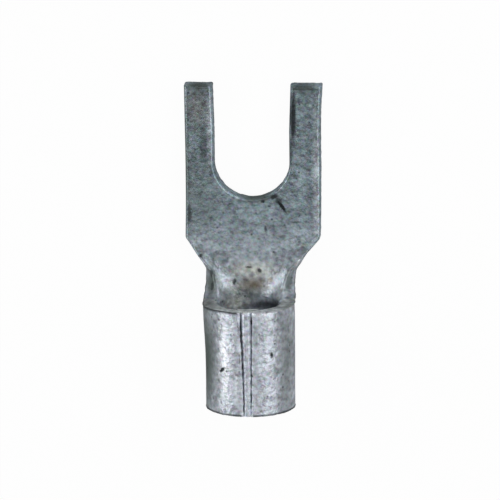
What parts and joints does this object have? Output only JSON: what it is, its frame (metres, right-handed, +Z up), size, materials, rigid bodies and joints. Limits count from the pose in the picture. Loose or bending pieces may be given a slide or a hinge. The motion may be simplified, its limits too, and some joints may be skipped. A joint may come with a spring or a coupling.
{
  "type": "fork terminal",
  "caption": "Non-insulated fork terminal: a flat tongue with a U-shaped slot for a screw, a rolled wire barrel and a brazed seam along its top.",
  "frame": {"origin": "on the surface that the terminal lies on, midway along its length, under the axis of its wire barrel", "axes": "+Y from the wire barrel towards the fork's tips, +Z up out of the tongue's face on the seam's side, +X to the right seen from above with the tips up"},
  "size_m": [0.0088, 0.021, 0.0058],
  "materials": {
    "tinned_copper": "dull tin plating, mottled and stained with age, over copper"
  },
  "bodies": {
    "root": {"fork_terminal": "tinned_copper"}
  },
  "joints": []
}
